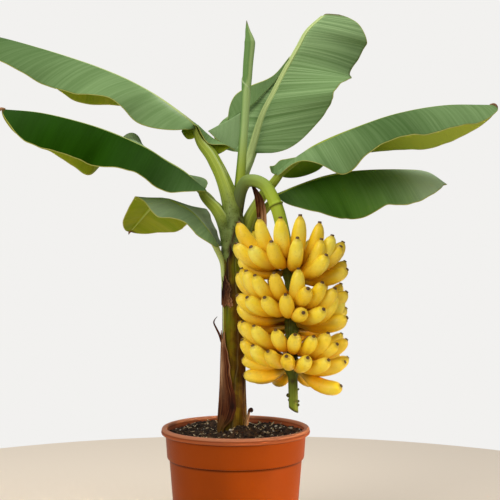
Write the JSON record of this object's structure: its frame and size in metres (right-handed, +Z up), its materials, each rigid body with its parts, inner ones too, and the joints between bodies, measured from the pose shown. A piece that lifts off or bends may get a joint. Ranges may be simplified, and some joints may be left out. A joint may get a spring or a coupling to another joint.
{
  "type": "fruiting banana plant in a round grow pot",
  "caption": "Dwarf banana plant with broad arching leaves and a hanging bunch of ripe yellow fruit, standing in a round terracotta-coloured plastic grow pot.",
  "frame": {"origin": "centre of the pot's flat underside, on the surface that the plant stands on", "axes": "+Z up along the pot's axis; +X to the right of the view that shows the bunch in front of and beside the stem; -Y towards that view, the side that the bunch hangs on"},
  "size_m": [1.1226, 0.4487, 1.124],
  "materials": {
    "pot_plastic": "satin moulded polypropylene, terracotta orange",
    "potting_mix": "moist dark peat and bark mix with pale perlite",
    "stem_sheath": "smooth fleshy leaf sheaths, olive green with brown patches",
    "dry_sheath": "dry papery fibrous sheath, matt brown",
    "leaf_stalk": "smooth waxy yellow-green stalk",
    "leaf": "waxy leaf blade with fine parallel veins",
    "fruit_stalk": "smooth waxy green stalk",
    "banana_peel": "ripe satin yellow peel with dark tips"
  },
  "bodies": {
    "root": {"pot": "pot_plastic", "soil": "potting_mix", "stem": "stem_sheath", "dry_sheath": "dry_sheath", "old_stub": "dry_sheath", "fruit_stalk_rise": "fruit_stalk", "fruit_stalk_bend": "fruit_stalk", "fruit_stalk_hang": "fruit_stalk", "spear_leaf": "leaf", "petiole_upper_left": "leaf_stalk", "petiole_mid_left": "leaf_stalk", "petiole_low_left": "leaf_stalk", "petiole_tall_right": "leaf_stalk", "petiole_upper_right": "leaf_stalk", "petiole_low_right": "leaf_stalk", "dry_bract": "dry_sheath", "blade_upper_left": "leaf", "blade_mid_left": "leaf", "blade_low_left": "leaf", "blade_tall_right": "leaf", "blade_upper_right": "leaf", "blade_low_right": "leaf", "banana_hand_1": "banana_peel", "banana_hand_2": "banana_peel", "banana_hand_3": "banana_peel", "banana_hand_4": "banana_peel"}
  },
  "joints": []
}
